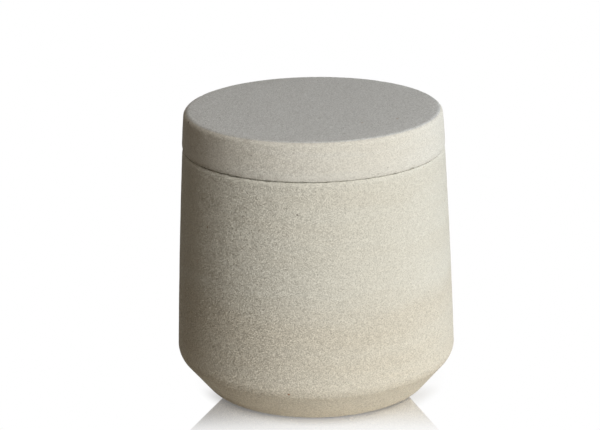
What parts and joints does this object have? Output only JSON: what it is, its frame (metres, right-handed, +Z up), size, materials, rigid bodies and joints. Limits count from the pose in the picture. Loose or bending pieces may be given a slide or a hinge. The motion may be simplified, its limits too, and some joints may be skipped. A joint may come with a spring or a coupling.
{
  "type": "lidded stone jar",
  "caption": "Round lidded stone jar for cotton pads, with a lift-off lid, a seal ring under it and anti-slip pads under the base.",
  "frame": {"origin": "centre of the jar's round footprint, on the surface that it stands on", "axes": "+Z up, along the axis that the jar, the lid and the ring are turned about; +X to the right and -Y towards the camera in the picture"},
  "size_m": [0.1048, 0.1048, 0.1064],
  "materials": {
    "sandstone": "turned and honed pale sandstone, fine open grain, matt",
    "silicone": "milky translucent silicone, satin",
    "foot_pad": "soft pale grey polyurethane, satin"
  },
  "bodies": {
    "jar": {"jar_body": "sandstone", "foot_pad_1": "foot_pad", "foot_pad_2": "foot_pad", "foot_pad_3": "foot_pad", "foot_pad_4": "foot_pad"},
    "ring": {"lid_seal_ring": "silicone"},
    "lid": {"lid": "sandstone"}
  },
  "joints": [
    {"name": "lid_lift", "type": "slide", "parent": "jar", "child": "ring", "axis": [0, 0, 1], "range_m": [0, 0.1]},
    {"name": "lid_turn", "type": "hinge", "parent": "ring", "child": "lid", "pos_m": [0, 0, 0.0922], "axis": [0, 0, 1], "continuous": true}
  ]
}
